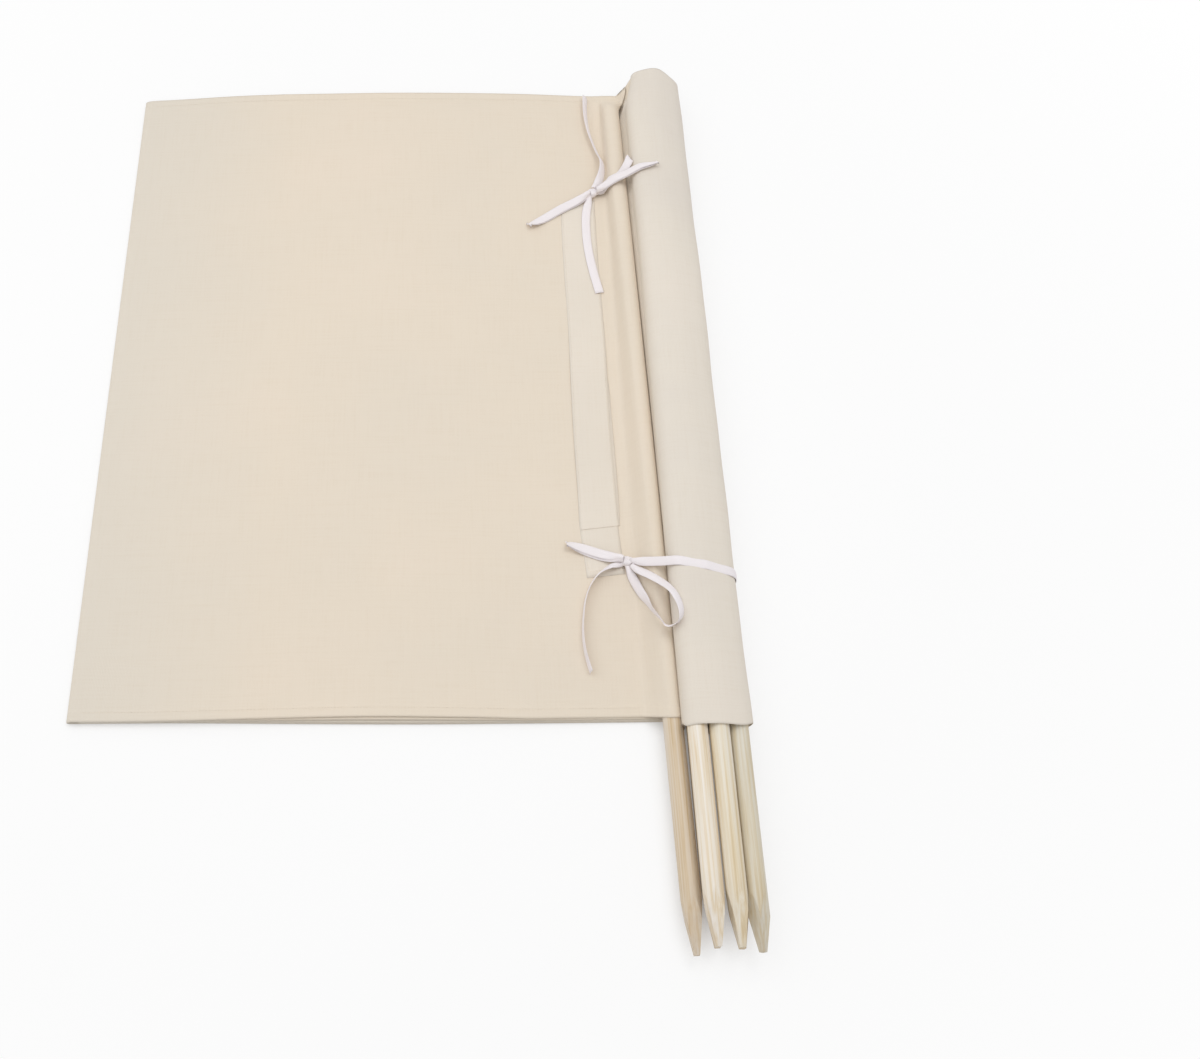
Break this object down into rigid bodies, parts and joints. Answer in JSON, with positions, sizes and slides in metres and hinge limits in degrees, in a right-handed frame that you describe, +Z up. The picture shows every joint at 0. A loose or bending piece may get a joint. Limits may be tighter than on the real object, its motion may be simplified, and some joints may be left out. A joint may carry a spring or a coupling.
{
  "type": "folded beach windbreak",
  "caption": "Beach windbreak packed flat: plain cotton bays folded in a concertina, pointed wooden poles gathered and wrapped at one side, flat carrying strap, tape ties in bows.",
  "frame": {"origin": "on the floor under the middle of the folded pack's bounding box", "axes": "+X across the pack from the folded edge toward the poles, +Y along the poles from their points toward their tops, +Z up"},
  "size_m": [0.6395, 1.031, 0.0558],
  "materials": {
    "cloth": "unbleached plain-weave cotton",
    "tape": "white woven cotton tape",
    "wood": "plain sanded softwood"
  },
  "bodies": {
    "root": {"pole_1": "wood", "pole_2": "wood", "pole_3": "wood", "pole_4": "wood", "pole_5": "wood", "pole_6": "wood", "pocket_1": "cloth", "pocket_2": "cloth", "pocket_3": "cloth", "pocket_4": "cloth", "pocket_5": "cloth", "pocket_6": "cloth", "bay_1": "cloth", "bay_2": "cloth", "bay_3": "cloth", "bay_4": "cloth", "bay_5": "cloth", "roll_wrap": "cloth", "carry_strap": "cloth", "upper_tie_knot": "tape", "upper_tie_left_loop": "tape", "upper_tie_right_loop": "tape", "upper_tie_top_tail": "tape", "upper_tie_low_tail": "tape", "upper_tie_band": "tape", "lower_tie_knot": "tape", "lower_tie_left_loop": "tape", "lower_tie_right_loop": "tape", "lower_tie_tail": "tape", "lower_tie_band": "tape"}
  },
  "joints": []
}
